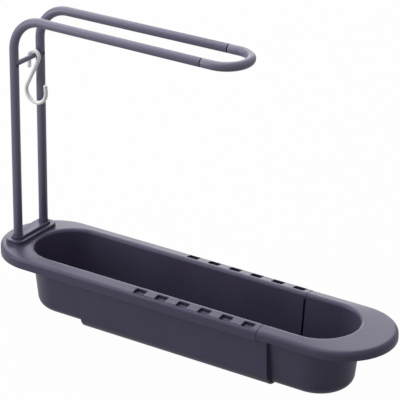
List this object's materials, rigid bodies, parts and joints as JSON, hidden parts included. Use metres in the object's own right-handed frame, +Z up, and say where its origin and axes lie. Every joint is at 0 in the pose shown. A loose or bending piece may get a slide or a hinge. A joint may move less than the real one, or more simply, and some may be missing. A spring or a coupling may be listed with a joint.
{
  "type": "sink drying rack",
  "caption": "Telescoping sink drying rack: two nesting basket halves with round end flanges, and a plug-in U-shaped towel hanger with a cross bar and an S-hook.",
  "frame": {"origin": "middle of the closed rack's length and width, on the surface that it stands on", "axes": "+X along the rack towards the sliding half, away from the hanger; +Y across the rack to its far side; +Z up"},
  "size_m": [0.377, 0.091, 0.264],
  "materials": {
    "left_basket": "fine moulded grain, slate purple-grey",
    "right_basket": "fine moulded grain, slate purple-grey",
    "hanger_foot": "fine moulded grain, slate purple-grey",
    "near_rail": "satin powder coat, slate purple-grey",
    "far_rail": "satin powder coat, slate purple-grey",
    "end_loop": "satin powder coat, slate purple-grey",
    "near_joint_plug": "plain dark nylon",
    "far_joint_plug": "plain dark nylon",
    "cross_bar": "satin powder coat, slate purple-grey",
    "near_bar_screw": "plain steel",
    "far_bar_screw": "plain steel",
    "s_hook": "satin white"
  },
  "bodies": {
    "left_half": {"left_basket": "left_basket"},
    "right_half": {"right_basket": "right_basket"},
    "hanger": {"hanger_foot": "hanger_foot", "near_rail": "near_rail", "far_rail": "far_rail", "end_loop": "end_loop", "near_joint_plug": "near_joint_plug", "far_joint_plug": "far_joint_plug", "cross_bar": "cross_bar", "near_bar_screw": "near_bar_screw", "far_bar_screw": "far_bar_screw"},
    "hook": {"s_hook": "s_hook"}
  },
  "joints": [
    {"name": "extension_slide", "type": "slide", "parent": "left_half", "child": "right_half", "axis": [1, 0, 0], "range_m": [0, 0.126]},
    {"name": "hanger_lift", "type": "slide", "parent": "left_half", "child": "hanger", "axis": [0, 0, 1], "range_m": [0, 0.013]},
    {"name": "hook_swing", "type": "hinge", "parent": "hanger", "child": "hook", "pos_m": [-0.1672, 0.0093, 0.218], "axis": [0, 1, 0], "range_deg": [-60, 60]}
  ]
}
